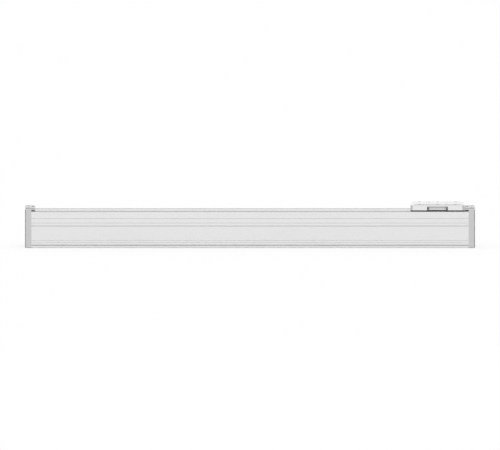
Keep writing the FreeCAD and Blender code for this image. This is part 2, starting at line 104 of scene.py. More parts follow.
class Wiring:
    """Adds nodes to one node tree and joins their sockets."""

    def __init__(self, tree: bpy.types.NodeTree) -> None:
        """Keep the tree that the nodes go into."""
        self.tree = tree

    @classmethod
    def fresh(cls, owner: bpy.types.Material | bpy.types.World) -> Self:
        """Empty the node tree of a material or a world.

        Args:
            owner: The material or the world.

        Returns:
            The wiring of its empty tree.
        """
        owner.use_nodes = True
        owner.node_tree.nodes.clear()
        return cls(owner.node_tree)

    def add(self, kind: str, sockets: dict | None = None, **settings: object) -> bpy.types.Node:
        """Add one node.

        Args:
            kind: The node's type.
            sockets: What goes into each input, by name or number: a socket or a plain value.
            settings: Properties of the node.

        Returns:
            The new node.
        """
        node = self.tree.nodes.new(kind)
        for key, value in settings.items():
            setattr(node, key, value)
        for key, value in (sockets or {}).items():
            if isinstance(value, Socket):
                self.tree.links.new(value, node.inputs[key])
            else:
                node.inputs[key].default_value = value
        return node

    def take(self) -> dict[str, Socket]:
        """Add the tree's input node and give its sockets by name."""
        return {socket.name: socket for socket in self.add("NodeGroupInput").outputs if socket.name}

    def calc(self, operation: str, a: Socket | float, b: Socket | float = 0.0) -> Socket:
        """Work out one sum.

        Args:
            operation: The Math node's operation.
            a: First term.
            b: Second term.

        Returns:
            The result's socket.
        """
        return self.add("ShaderNodeMath", {0: a, 1: b}, operation=operation).outputs[0]

    def product(self, *terms: Socket) -> Socket:
        """Multiply values.

        Args:
            terms: The values, in the order in which they are multiplied.

        Returns:
            The result's socket.
        """
        result = terms[0]
        for term in terms[1:]:
            result = self.calc("MULTIPLY", result, term)
        return result

    def vector(self, operation: str, a: Socket, b: Socket | tuple) -> Socket:
        """Work out one sum of vectors.

        Args:
            operation: The Vector Math node's operation.
            a: First vector.
            b: Second vector.

        Returns:
            The result's socket: a value for a dot product, and a vector otherwise.
        """
        node = self.add("ShaderNodeVectorMath", {0: a, 1: b}, operation=operation)
        return node.outputs["Value" if operation == "DOT_PRODUCT" else "Vector"]

    def span(self, value: Socket, source: Range, target: Range = RISING) -> Socket:
        """Map a value from one range to another, held at both ends.

        Args:
            value: The value to map.
            source: Its lowest and highest value.
            target: What those become.

        Returns:
            The mapped value's socket.
        """
        sockets = {0: value, 1: source[0], 2: source[1], 3: target[0], 4: target[1]}
        return self.add("ShaderNodeMapRange", sockets, clamp=True).outputs[0]

    def tint(self, mask: Socket, plain: Socket | Colour, other: Socket | Colour) -> Socket:
        """Mix two colours by a mask.

        Args:
            mask: 0 for the plain colour, 1 for the other.
            plain: Colour where the mask is 0.
            other: Colour where the mask is 1.

        Returns:
            The mixed colour's socket.
        """
        ends = [c if isinstance(c, Socket) else (*c, 1.0) for c in (plain, other)]
        return self.add("ShaderNodeMix", {0: mask, 6: ends[0], 7: ends[1]}, data_type="RGBA").outputs[2]


class EffectGroup(Wiring):
    """A shader node group that takes a place on the surface and named values, and puts out a mask."""

    def __init__(self, name: str, **values: float) -> None:
        """Start the group.

        Args:
            name: The group's name.
            values: Its value inputs and their defaults.
        """
        super().__init__(bpy.data.node_groups.new(name, "ShaderNodeTree"))
        sockets = self.tree.interface
        sockets.new_socket("Place", in_out="INPUT", socket_type="NodeSocketVector")
        for key, value in values.items():
            sockets.new_socket(key, in_out="INPUT", socket_type="NodeSocketFloat").default_value = value
        sockets.new_socket("Mask", in_out="OUTPUT", socket_type="NodeSocketFloat")
        self.given = self.take()

    def noise(self, scale: float | Socket, detail: float, distortion: float = 0.0,
              place: Socket | None = None) -> Socket:
        """Add noise over the surface.

        Args:
            scale: Its cells in a metre.
            detail: How many finer layers it has.
            distortion: How far it is warped.
            place: Place on the surface, if it isn't the group's own.

        Returns:
            The noise's socket, from 0 to 1.
        """
        chosen = self.given["Place"] if place is None else place
        sockets = {"Vector": chosen, "Scale": scale, "Detail": detail, "Distortion": distortion}
        return self.add("ShaderNodeTexNoise", sockets).outputs[0]

    def normal(self) -> Socket:
        """Direction in which the surface faces."""
        return self.add("ShaderNodeNewGeometry").outputs["Normal"]

    def give(self, *masks: Socket) -> bpy.types.NodeTree:
        """Close the group: it puts out the product of some masks.

        Args:
            masks: The masks.

        Returns:
            The group's tree.
        """
        self.add("NodeGroupOutput", {"Mask": self.product(*masks)})
        return self.tree


class SurfaceEffects:
    """Shader node groups that the finishes share, each built once."""

    # The stretch of a noise that a pattern, a broken edge, a handling mark or dust makes use of
    PATTERN_NOISE: Range = (0.3, 0.7)
    EDGE_NOISE: Range = (0.4, 0.6)
    MARK_NOISE: Range = (0.5, 0.72)
    DUST_NOISE: Range = (0.35, 0.75)
    # What that noise leaves of a mask where it is lowest and highest; the last two are painted shade
    RUBBED_SHARE: Range = (0.25, 1.0)
    EDGE_SHADE_SHARE: Range = (0.7, 1.0)
    RECESS_SHADE_SHARE: Range = (0.85, 1.0)
    # Cosine of the turn at a sharp edge, the two level parts of a rounded edge's normal multiplied, and
    # the upward part of a dusty face's normal
    SHARP_TURN: Range = (0.75, 0.97)
    ROUND_TURN: Range = (0.03, 0.25)
    UPWARD: Range = (0.6, 1.0)
    # Openness at which a recess has all its painted shade
    SHUT = 0.4
    EDGE_SAMPLES = 4
    RECESS_SAMPLES = 8

    def __init__(self) -> None:
        """Build every group."""
        self.run_lines = self._run_lines()
        self.fine_grain = self._fine_grain()
        self.handling_marks = self._handling_marks()
        self.edge_wear = self._edge_wear()
        self.upright_edge_shade = self._upright_edge_shade()
        self.settled_dust = self._settled_dust()
        self.recess_shade = self._recess_shade()

    def _run_lines(self) -> bpy.types.NodeTree:
        """Fine lines along the axis, as extruding and brushing leave them.

        Returns:
            The group.
        """
        group = EffectGroup("run_lines", Along=6.0, Across=2600.0)
        along, across = group.given["Along"], group.given["Across"]
        stretch = group.add("ShaderNodeCombineXYZ", {0: along, 1: across, 2: across}).outputs[0]
        place = group.vector("MULTIPLY", group.given["Place"], stretch)
        noise = group.noise(scale=1.0, detail=3.0, place=place)
        return group.give(group.span(noise, self.PATTERN_NOISE))

    def _fine_grain(self) -> bpy.types.NodeTree:
        """Even fine grain, as of paint, moulding or blasting.

        Returns:
            The group.
        """
        group = EffectGroup("fine_grain", Scale=1500.0)
        noise = group.noise(group.given["Scale"], detail=2.0)
        return group.give(group.span(noise, self.PATTERN_NOISE))

    def _handling_marks(self) -> bpy.types.NodeTree:
        """Soft patches where hands have dulled the surface.

        Returns:
            The group.
        """
        group = EffectGroup("handling_marks", Scale=28.0, Amount=1.0)
        noise = group.noise(group.given["Scale"], detail=4.0, distortion=0.6)
        return group.give(group.span(noise, self.MARK_NOISE), group.given["Amount"])

    def _edge_wear(self) -> bpy.types.NodeTree:
        """Thin rubbed line along sharp edges, broken up by noise.

        Returns:
            The group.
        """
        group = EffectGroup("edge_wear", Width=0.25 * MM, Amount=1.0)
        rounded = group.add("ShaderNodeBevel", {"Radius": group.given["Width"]}, samples=self.EDGE_SAMPLES)
        turn = group.vector("DOT_PRODUCT", rounded.outputs[0], group.normal())
        edges = group.span(turn, self.SHARP_TURN, FALLING)
        broken = group.span(group.noise(scale=320.0, detail=3.0), self.EDGE_NOISE, self.RUBBED_SHARE)
        return group.give(edges, broken, group.given["Amount"])

    def _upright_edge_shade(self) -> bpy.types.NodeTree:
        """Painted shade on rounded upright edges, where a side turns into an end, broken up by noise.

        Returns:
            The group.
        """
        group = EffectGroup("upright_edge_shade", Amount=1.0)
        faced = group.add("ShaderNodeSeparateXYZ", {0: group.normal()}).outputs
        turn = group.calc("ABSOLUTE", group.product(faced["X"], faced["Y"]))
        edges = group.span(turn, self.ROUND_TURN)
        broken = group.span(group.noise(scale=240.0, detail=3.0), self.EDGE_NOISE, self.EDGE_SHADE_SHARE)
        return group.give(edges, broken, group.given["Amount"])

    def _settled_dust(self) -> bpy.types.NodeTree:
        """Thin film on surfaces that face up.

        Returns:
            The group.
        """
        group = EffectGroup("settled_dust", Scale=180.0, Amount=1.0)
        faced = group.add("ShaderNodeSeparateXYZ", {0: group.normal()}).outputs
        patches = group.span(group.noise(group.given["Scale"], detail=5.0), self.DUST_NOISE)
        return group.give(group.span(faced["Z"], self.UPWARD), patches, group.given["Amount"])

    def _recess_shade(self) -> bpy.types.NodeTree:
        """Painted shade: darker colour in holes, grooves and notches, by how closed in they are.

        Returns:
            The group.
        """
        group = EffectGroup("recess_shade", Reach=6.0 * MM, Open=0.8, Amount=1.0)
        # Ambient occlusion tells how closed in a place is, and so where the shade is painted
        around = group.add("ShaderNodeAmbientOcclusion", {"Distance": group.given["Reach"]},
                           samples=self.RECESS_SAMPLES, only_local=True)
        closed = group.span(around.outputs["AO"], (self.SHUT, group.given["Open"]), FALLING)
        uneven = group.span(group.noise(scale=400.0, detail=3.0), self.PATTERN_NOISE, self.RECESS_SHADE_SHARE)
        return group.give(closed, uneven, group.given["Amount"])


def grey(level: float, blue: float = 0.0) -> Colour:
    """A grey, with a little more blue if it is a cool one."""
    return level, level, level + blue


EFFECTS = SurfaceEffects()
DUST_COLOUR: Colour = (0.62, 0.61, 0.59)
# Colour of the painted shade in holes, grooves and notches
RECESS_SHADE_COLOUR = grey(0.03)


class SurfaceWiring(Wiring):
    """Wiring of one material, whose effects follow the place on the surface."""

    def __init__(self, tree: bpy.types.NodeTree) -> None:
        """Keep the tree, and add the place on the surface."""
        super().__init__(tree)
        self.place = self.add("ShaderNodeTexCoord").outputs["Object"]

    def effect(self, group: bpy.types.NodeTree, **values: float) -> Socket:
        """Place a shared effect in the material, with its own values, and give its mask."""
        return self.add("ShaderNodeGroup", {"Place": self.place, **values}, node_tree=group).outputs[0]

    def cover(self, colour: Socket, other: Colour, group: bpy.types.NodeTree, **values: float) -> Socket:
        """Cover a colour with another where an effect's mask says so, and give the result."""
        return self.tint(self.effect(group, **values), colour, other)


@dataclass(frozen=True)
class Finish:
    """A surface finish, made into one material: a fine pattern under dust, handling marks and painted
    shade.

    Attributes:
        name: The material's name.
        colour: Colour of the clean surface.
        roughness: Its mean roughness.
        dust: How much dust lies on it where it faces up.
        marks: How much rougher handling has made it in places.
        painted_shade: How much painted shade darkens its recesses.
        shade_free_at: Openness from which a place has no painted shade.
        fineness: Cells of the pattern in a metre.
        contrast: How much darker the pattern is in its low places, as a share.
        unevenness: How far the pattern takes the roughness up and down.
        relief: Height of the pattern.
    """

    name: str
    colour: Colour
    roughness: float
    dust: float = 0.05
    marks: float = 0.05
    painted_shade: float = 0.3
    shade_free_at: float = 0.8
    fineness: float = 1800.0
    contrast: float = 0.05
    unevenness: float = 0.03
    relief: float = 0.001 * MM

    def material(self) -> bpy.types.Material:
        """Give the finish's material, built at the first call.

        Returns:
            The material.
        """
        known = bpy.data.materials.get(self.name)
        if known:
            return known
        made = bpy.data.materials.new(self.name)
        made.diffuse_color = (*self.colour, 1.0)
        surface = SurfaceWiring.fresh(made)
        shader = surface.add("ShaderNodeBsdfPrincipled", {**self.body(), **self.wire(surface)})
        surface.add("ShaderNodeOutputMaterial", {"Surface": shader.outputs[0]})
        return made

    def body(self) -> dict[str, float]:
        """Plain values of the shader."""
        return {}

    def pattern(self, surface: SurfaceWiring) -> Socket:
        """Height of the pattern, from 0 to 1: an even grain."""
        return surface.effect(EFFECTS.fine_grain, Scale=self.fineness)

    def rub(self, surface: SurfaceWiring, colour: Socket) -> Socket:
        """Colour with its rubbed places, of which a plain finish has none."""
        return colour

    def wire(self, surface: SurfaceWiring) -> dict[str, Socket]:
        """Wire the pattern and what lies over it.

        Args:
            surface: The material's wiring.

        Returns:
            What goes into each of the shader's inputs.
        """
        pattern = self.pattern(surface)
        dark = tuple(part * (1 - self.contrast) for part in self.colour)
        colour = self.rub(surface, surface.tint(pattern, dark, self.colour))
        colour = surface.cover(colour, DUST_COLOUR, EFFECTS.settled_dust, Amount=self.dust)
        # Painted shade: darker colour in recesses, by how closed in they are
        colour = surface.cover(colour, RECESS_SHADE_COLOUR, EFFECTS.recess_shade, Amount=self.painted_shade,
                               Open=self.shade_free_at)
        ends = (self.roughness + self.unevenness, self.roughness - self.unevenness)
        marks = surface.effect(EFFECTS.handling_marks, Amount=self.marks)
        roughness = surface.calc("ADD", surface.span(pattern, RISING, ends), marks)
        bump = surface.add("ShaderNodeBump", {"Height": pattern, "Strength": 1.0, "Distance": self.relief})
        return {"Base Color": colour, "Roughness": roughness, "Normal": bump.outputs[0]}


@dataclass(frozen=True)
class DrawnMetal(Finish):
    """Metal with fine lines along the axis, as extruded, brushed or ground."""

    fineness: float = 2600.0
    contrast: float = 0.04
    relief: float = 0.0004 * MM

    def body(self) -> dict[str, float]:
        """Plain values of the shader: metal."""
        return {"Metallic": 1.0}

    def pattern(self, surface: SurfaceWiring) -> Socket:
        """Height of the pattern, from 0 to 1: lines along the axis."""
        return surface.effect(EFFECTS.run_lines, Across=self.fineness)


@dataclass(frozen=True)
class GrainedMetal(Finish):
    """Metal with an even fine grain and rubbed edges, as blasted, cast, painted thinly or blackened.

    Attributes:
        worn_colour: Colour of its rubbed edges.
        wear: How much they are rubbed.
        edge_shade_colour: Colour of the painted shade on its upright rounded edges.
        edge_shade: How much painted shade those edges get.
    """

    worn_colour: Colour = grey(0.8)
    wear: float = 0.1
    edge_shade_colour: Colour = grey(0.23)
    edge_shade: float = 0.0

    def body(self) -> dict[str, float]:
        """Plain values of the shader: metal."""
        return {"Metallic": 1.0}

    def rub(self, surface: SurfaceWiring, colour: Socket) -> Socket:
        """Colour with its rubbed edges and the painted shade on its upright edges."""
        worn = surface.cover(colour, self.worn_colour, EFFECTS.edge_wear, Amount=self.wear)
        # Painted shade: darker colour on rounded upright edges, where a side turns into an end
        return surface.cover(worn, self.edge_shade_colour, EFFECTS.upright_edge_shade, Amount=self.edge_shade)


@dataclass(frozen=True)
class Coating(Finish):
    """Plastic, felt or rubber: a coloured surface that is not metal.

    Attributes:
        worn_colour: Colour of its rubbed edges.
        wear: How much they are rubbed.
        gloss: How strongly it reflects.
        coat: How much clear coat lies over it.
    """

    fineness: float = 900.0
    contrast: float = 0.04
    unevenness: float = 0.04
    relief: float = 0.004 * MM
    worn_colour: Colour = grey(0.7)
    wear: float = 0.1
    gloss: float = 0.5
    coat: float = 0.0

    def body(self) -> dict[str, float]:
        """Plain values of the shader: gloss and coat."""
        return {"Specular IOR Level": self.gloss, "Coat Weight": self.coat}

    def rub(self, surface: SurfaceWiring, colour: Socket) -> Socket:
        """Colour with its rubbed edges."""
        return surface.cover(colour, self.worn_colour, EFFECTS.edge_wear, Amount=self.wear)


# Painted shade: these finishes darken recesses, and the cap paint also darkens its upright rounded edges
EXTRUDED = DrawnMetal("extruded_aluminium", grey(0.84, 0.005), 0.38, painted_shade=0.2)
MILLED = GrainedMetal("milled_aluminium", grey(0.83, 0.005), 0.2, painted_shade=0.9, shade_free_at=1.0)
STRIP = DrawnMetal("brushed_strip", grey(0.72), 0.24, painted_shade=0.0, fineness=3600.0, unevenness=0.05)
GROUND = DrawnMetal("ground_steel", grey(0.55, 0.01), 0.22, fineness=5200.0)
BLACKENED = GrainedMetal("blackened_steel", grey(0.05, 0.004), 0.36, worn_colour=grey(0.3), wear=0.35)
PLATED = GrainedMetal("plated_steel", grey(0.75), 0.22, wear=0.0)
BALL_STEEL = GrainedMetal("polished_steel", grey(0.62, 0.01), 0.08, dust=0.0, marks=0.0, wear=0.0)
CAP_PAINT = GrainedMetal("silver_grey_paint", grey(0.625), 0.34, fineness=900.0, edge_shade=1.0)
CLAMP_PAINT = GrainedMetal("pale_grey_paint", grey(0.7), 0.34, painted_shade=0.1, fineness=900.0)
WIPER_PLASTIC = Coating("grey_plastic", grey(0.5), 0.2, fineness=1400.0, wear=0.05, coat=1.0)
RUNNER_PLASTIC = Coating("dark_plastic", grey(0.05, 0.005), 0.45, worn_colour=grey(0.16))
FELT = Coating("grey_felt", grey(0.68), 0.9, relief=0.02 * MM, wear=0.0, gloss=0.1)
RUBBER = Coating("black_rubber", grey(0.022), 0.7, worn_colour=grey(0.06), gloss=0.3)

SLOT_FINISHES: dict[str, Finish] = {
    "anodised_aluminium": EXTRUDED,
    "cap_paint": CAP_PAINT,
    "stainless_strip": STRIP,
    "bearing_steel": GROUND,
    "black_screw": BLACKENED,
    "black_rubber": RUBBER,
    "runner_plastic": RUNNER_PLASTIC,
    "wiper_plastic": WIPER_PLASTIC,
}
NODE_SLOTS: dict[str, str] = {row["node"]: row["material_slot"] for row in frame["record"]["subparts"]}


def dress(node: str, finish: Finish | None = None) -> None:
    """Give a CAD node its finish.

    Args:
        node: The node's name.
        finish: The finish, if it isn't the usual one of the node's slot.
    """
    chosen = finish or SLOT_FINISHES[NODE_SLOTS[node]]
    for slot in frame["nodes"][node].material_slots:
        slot.material = chosen.material()
    log.info("%s: %s", node, chosen.name)


def keep(name: str, mesh: bpy.types.Mesh) -> bpy.types.Object:
    """Put a mesh into the scene as a piece, smooth but for its sharp edges.

    Args:
        name: The piece's name.
        mesh: Its mesh.

    Returns:
        The piece.
    """
    mesh.name = name
    mesh.shade_smooth()
    mesh.set_sharp_from_angle(angle=SHARP_ANGLE)
    piece = bpy.data.objects.new(name, mesh)
    bpy.context.scene.collection.objects.link(piece)
    log.info("%s: %d faces", name, len(mesh.polygons))
    return piece


@dataclass(frozen=True)
class Seat:
    """A place where a repeated shape sits, and the direction that its top faces."""

    at: Vector
    facing: Vector


class GrownShape(Wiring):
    """A Geometry Nodes tree that puts one shape on every seat."""

    # Socket type and default value of a length
    LENGTH = ("NodeSocketFloat", 0.0)

    def __init__(self, name: str, sizes: dict[str, tuple[str, object]]) -> None:
        """Start a tree with named inputs.

        Args:
            name: The tree's name.
            sizes: Socket type and default value of each input.
        """
        super().__init__(bpy.data.node_groups.new(name, "GeometryNodeTree"))
        sockets = self.tree.interface
        sockets.new_socket("Seats", in_out="INPUT", socket_type="NodeSocketGeometry")
        for key, (kind, value) in sizes.items():
            sockets.new_socket(key, in_out="INPUT", socket_type=kind).default_value = value
        sockets.new_socket("Finish", in_out="INPUT", socket_type="NodeSocketMaterial")
        sockets.new_socket("Shape", in_out="OUTPUT", socket_type="NodeSocketGeometry")
        self.given = self.take()

    def put_on_seats(self, shape: Socket) -> None:
        """Close the tree: the shape on every seat, turned to face as the seat does, with its finish.

        Args:
            shape: The shape, whose top faces up.
        """
        facing = self.add("GeometryNodeInputNamedAttribute", {"Name": "facing"}, data_type="FLOAT_VECTOR")
        turn = self.add("FunctionNodeAlignRotationToVector", {"Vector": facing.outputs[0]}, axis="Z")
        sockets = {"Points": self.given["Seats"], "Instance": shape, "Rotation": turn.outputs[0]}
        seated = self.add("GeometryNodeInstanceOnPoints", sockets).outputs[0]
        real = self.add("GeometryNodeRealizeInstances", {"Geometry": seated}).outputs[0]
        painted = self.add("GeometryNodeSetMaterial", {"Geometry": real, "Material": self.given["Finish"]})
        self.add("NodeGroupOutput", {"Shape": painted.outputs[0]})

    def grow(self, name: str, seats: list[Seat], finish: Finish,
             sizes: dict[str, object]) -> bpy.types.Object:
        """Run the tree on some seats and keep the result as a plain mesh.

        Args:
            name: The new piece's name.
            seats: Where the shape goes.
            finish: Its finish.
            sizes: Values of the tree's inputs, by name.

        Returns:
            The new piece, with its place in its mesh.
        """
        points = bpy.data.meshes.new(name)
        points.from_pydata([seat.at for seat in seats], [], [])
        facing = points.attributes.new("facing", "FLOAT_VECTOR", "POINT")
        facing.data.foreach_set("vector", [value for seat in seats for value in seat.facing])
        carrier = bpy.data.objects.new(name + "_seats", points)
        bpy.context.scene.collection.objects.link(carrier)
        modifier = carrier.modifiers.new("shape", "NODES")
        modifier.node_group = self.tree
        sockets = self.tree.interface.items_tree
        inputs = {socket.name: socket.identifier for socket in sockets if socket.in_out == "INPUT"}
        for key, value in {**sizes, "Finish": finish.material()}.items():
            modifier[inputs[key]] = value
        graph = bpy.context.evaluated_depsgraph_get()
        mesh = bpy.data.meshes.new_from_object(carrier.evaluated_get(graph), depsgraph=graph)
        carrier.modifiers.remove(modifier)
        bpy.data.objects.remove(carrier)
        bpy.data.meshes.remove(points)
        return keep(name, mesh)


class SeatedCopies(GrownShape):
    """Copies of a ready-made piece, one on every seat."""

    def __init__(self) -> None:
        """Build the tree: the piece, put on the seats."""
        super().__init__("seated_copies", {"Piece": ("NodeSocketObject", None)})
        piece = self.add("GeometryNodeObjectInfo", {"Object": self.given["Piece"]})
        self.put_on_seats(piece.outputs["Geometry"])


class ThreadTurns(GrownShape):
    """Thread in a tapped hole: a ridge that winds down its wall."""

    STEPS_PER_TURN = 20
    RIDGE_SIDES = 4
    RIDGE_SHARE = 0.25

    def __init__(self) -> None:
        """Build the tree: a small section swept along a spiral."""
        names = ("Bore Radius", "Pitch", "Depth", "Ridge")
        super().__init__("thread_turns", dict.fromkeys(names, self.LENGTH))
        radius, pitch, depth, ridge_radius = (self.given[name] for name in names)
        height = self.calc("SUBTRACT", depth, pitch)
        sockets = {"Resolution": self.STEPS_PER_TURN, "Rotations": self.calc("DIVIDE", height, pitch),
                   "Start Radius": radius, "End Radius": radius, "Height": height}
        path = self.add("GeometryNodeCurveSpiral", sockets).outputs[0]
        sockets = {"Resolution": self.RIDGE_SIDES, "Radius": ridge_radius}
        section = self.add("GeometryNodeCurvePrimitiveCircle", sockets).outputs[0]
        sockets = {"Curve": path, "Profile Curve": section, "Fill Caps": True}
        ridge = self.add("GeometryNodeCurveToMesh", sockets).outputs[0]
        foot = self.calc("SUBTRACT", self.calc("MULTIPLY", pitch, 0.5), depth)
        offset = self.add("ShaderNodeCombineXYZ", {2: foot}).outputs[0]
        lowered = self.add("GeometryNodeTransform", {"Geometry": ridge, "Translation": offset})
        self.put_on_seats(lowered.outputs[0])

    def cut(self, name: str, seats: list[Seat], finish: Finish, radius: float, pitch: float,
            depth: float) -> bpy.types.Object:
        """Make the turns of some tapped holes.

        Args:
            name: The new piece's name.
            seats: Mouth of each hole, and where it faces.
            finish: Their finish.
            radius: Radius of the bore.
            pitch: Step from turn to turn.
            depth: How far down the turns go.

        Returns:
            The new piece.
        """
        ridge = self.RIDGE_SHARE * pitch
        sizes = {"Bore Radius": radius, "Pitch": pitch, "Depth": depth, "Ridge": ridge}
        return self.grow(name, seats, finish, sizes)


class BallRows(GrownShape):
    """Rows of bearing balls that start at each seat and run along its direction."""

    SEGMENTS = 18
    RINGS = 10

    def __init__(self) -> None:
        """Build the tree: a line of points with a ball on each, on every seat."""
        sizes = {"Radius": self.LENGTH, "Pitch": self.LENGTH, "Count": ("NodeSocketInt", 1)}
        super().__init__("ball_rows", sizes)
        step = self.add("ShaderNodeCombineXYZ", {2: self.given["Pitch"]}).outputs[0]
        line = self.add("GeometryNodeMeshLine", {"Count": self.given["Count"], "Offset": step}).outputs[0]
        sockets = {"Segments": self.SEGMENTS, "Rings": self.RINGS, "Radius": self.given["Radius"]}
        ball = self.add("GeometryNodeMeshUVSphere", sockets).outputs[0]
        row = self.add("GeometryNodeInstanceOnPoints", {"Points": line, "Instance": ball})
        self.put_on_seats(row.outputs[0])


class LipSeal(GrownShape):
    """Seal whose lip runs round a rectangle with rounded corners."""

    CORNER_STEPS = 6

    def __init__(self) -> None:
        """Build the tree: a lip section swept along the rounded rectangle."""
        names = ("Length", "Width", "Height", "Wall", "Lip", "Corner")
        super().__init__("lip_seal", dict.fromkeys(names, self.LENGTH))
        sockets = {"Width": self.given["Length"], "Height": self.given["Width"]}
        rectangle = self.add("GeometryNodeCurvePrimitiveQuadrilateral", sockets).outputs[0]
        sockets = {"Curve": rectangle, "Radius": self.given["Corner"], "Count": self.CORNER_STEPS}
        path = self.add("GeometryNodeFilletCurve", sockets, mode="POLY").outputs[0]
        # Negative X of the swept section lies inside the path, and negative Y above it.
        inner = self.calc("MULTIPLY", self.given["Wall"], -1.0)
        waist = self.calc("MULTIPLY", self.given["Lip"], -1.0)
        top = self.calc("MULTIPLY", self.given["Height"], -1.0)
        corners = ((0.0, 0.0), (waist, 0.0), (inner, top), (waist, top))
        points = [self.add("ShaderNodeCombineXYZ", {0: x, 1: y}).outputs[0] for x, y in corners]
        named = {f"Point {i + 1}": point for i, point in enumerate(points)}
        section = self.add("GeometryNodeCurvePrimitiveQuadrilateral", named, mode="POINTS").outputs[0]
        swept = self.add("GeometryNodeCurveToMesh", {"Curve": path, "Profile Curve": section})
        self.put_on_seats(swept.outputs[0])


def loft(name: str, outlines: list[list[Vector]]) -> bpy.types.Mesh:
    """Close a mesh through a stack of outlines.

    Args:
        name: The mesh's name.
        outlines: Outlines of equally many points, in the order in which the surface meets them.

    Returns:
        The mesh, with a flat face on its first and its last outline.
    """
    sides = len(outlines[0])
    points = [point for outline in outlines for point in outline]
    faces = [tuple(reversed(range(sides)))]
    for first in range(0, len(points) - sides, sides):
        for i in range(sides):
            a, b = first + i, first + (i + 1) % sides
            faces.append((a, b, b + sides, a + sides))
    faces.append(tuple(range(len(points) - sides, len(points))))
    mesh = bpy.data.meshes.new(name)
    mesh.from_pydata(points, [], faces)
    return mesh


@dataclass(frozen=True)
class Ring:
    """One ring of a turned piece: a circle, or a hexagon whose radius is that of its corners."""

    radius: float
    height: float
    hexagonal: bool = False

    def points(self, sides: int) -> list[Vector]:
        """Points of the ring, anticlockwise from above.

        Args:
            sides: Number of points, a multiple of six.

        Returns:
            The points, evenly spread by angle.
        """
        half = HEXAGON_SECTOR / 2
        found = []
        for i in range(sides):
            angle = math.tau * i / sides
            reach = self.radius
            if self.hexagonal:
                reach *= math.cos(half) / math.cos(angle % HEXAGON_SECTOR - half)
            found.append(Vector((reach * math.cos(angle), reach * math.sin(angle), self.height)))
        return found


@dataclass
class ScrewSet:
    """One size of socket screw, with its standard sizes."""

    head_radius: float
    head_height: float
    key: float
    shank_radius: float
    form: HeadForm = HeadForm.CYLINDER
    edge: float = 0.25 * MM
    key_depth_share: float = 0.55
    sides: int = 36

    def rings(self, length: float) -> list[Ring]:
        """Rings of one screw, from the tip of its shank to the floor of its recess.

        Args:
            length: Length under the head for a cylinder head, or from its top if it is countersunk.

        Returns:
            The rings, with the middle of the head's top at the origin.
        """
        sunk = self.form is HeadForm.COUNTERSUNK
        slope = (self.head_radius - self.shank_radius) / self.head_height if sunk else 0.0
        wall = self.head_radius - slope * self.edge
        tip = -length if sunk else -length - self.head_height
        shank = [Ring(self.shank_radius - self.edge, tip), Ring(self.shank_radius, tip + self.edge),
                 Ring(self.shank_radius, -self.head_height)]
        seat = [] if sunk else [Ring(self.head_radius, -self.head_height)]
        head = [Ring(wall, -self.edge), Ring(wall - self.edge, 0.0)]
        key_corner = self.key / 2 / math.cos(HEXAGON_SECTOR / 2)
        key_floor = -self.key_depth_share * self.head_height
        recess = [Ring(key_corner, height, hexagonal=True) for height in (0.0, key_floor)]
        return shank + seat + head + recess

    def grow(self, shape: SeatedCopies, node: str, body: str, seats: list[Seat], length: float,
             finish: Finish = BLACKENED) -> None:
        """Make the screws that stand for a CAD node's.

        Args:
            shape: The tree that puts them on their seats.
            node: The CAD node that they stand for.
            body: The body that they ride on.
            seats: Middle of each head's top, and where it faces.
            length: Length under the head for a cylinder head, or from its top if it is countersunk.
            finish: Their finish.
        """
        outlines = [ring.points(self.sides) for ring in self.rings(length)]
        pattern = bpy.data.objects.new(node + "_pattern", loft(node + "_pattern", outlines))
        piece = shape.grow(node + "_turned", seats, finish, {"Piece": pattern})
        bpy.data.meshes.remove(pattern.data)
        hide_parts(node)
        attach(piece, body)


def inset_pair(low: float, high: float, inset: float) -> tuple[float, float]:
    """Two places that lie inset from both ends of a range."""
    return low + inset, high - inset


def even_pair(spacing: float) -> tuple[float, float]:
    """Two places, evenly to both sides of zero."""
    return -spacing / 2, spacing / 2


M4_CYLINDER = ScrewSet(3.5 * MM, 4.0 * MM, 3.0 * MM, 2.0 * MM, edge=0.35 * MM)
M3_COUNTERSUNK = ScrewSet(3.0 * MM, 1.7 * MM, 2.0 * MM, 1.5 * MM, form=HeadForm.COUNTERSUNK, edge=0.12 * MM)
SMALL_CYLINDER = ScrewSet(2.25 * MM, 1.5 * MM, 1.5 * MM, 1.25 * MM, edge=0.2 * MM)


@dataclass
class AxisFrame:
    """The fixed part between the ends: profile, rail and cover strip."""

    body: str = "axis_frame"
    base_thread_radius: float = 2.1 * MM
    base_thread_pitch: float = 0.8 * MM
    base_thread_depth: float = 4.8 * MM
    base_thread_inset: float = 51.5 * MM
    base_thread_spacing: float = 36.0 * MM
    strip_lean: float = 0.08 * MM

    def dress(self) -> None:
        """Give each node that stays its finish."""
        for node in ("profile", "guide_rail", "rail_screws", "rail_hole_plugs"):
            dress(node)

    def shear_strip(self) -> None:
        """Make the cover strip, whose sheared edges lean inwards."""
        low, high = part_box("cover_strip")
        top_left, top_right = inset_pair(low.y, high.y, self.strip_lean)
        section = ((low.y, low.z), (high.y, low.z), (top_right, high.z), (top_left, high.z))
        outlines = [[Vector((x, y, z)) for y, z in section] for x in (low.x, high.x)]
        mesh = loft("cover_strip_sheared", outlines)
        mesh.materials.append(STRIP.material())
        piece = keep("cover_strip_sheared", mesh)
        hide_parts("cover_strip")
        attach(piece, self.body)

    def thread_base(self, shape: ThreadTurns) -> None:
        """Cut the turns of the threads in the underside.

        Args:
            shape: The thread's tree.
        """
        low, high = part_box("profile")
        columns = inset_pair(low.x, high.x, self.base_thread_inset)
        rows = even_pair(self.base_thread_spacing)
        seats = [Seat(Vector((x, y, low.z)), DOWN) for x in columns for y in rows]
        piece = shape.cut("base_thread_turns", seats, EXTRUDED, self.base_thread_radius,
                          self.base_thread_pitch, self.base_thread_depth)
        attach(piece, self.body)


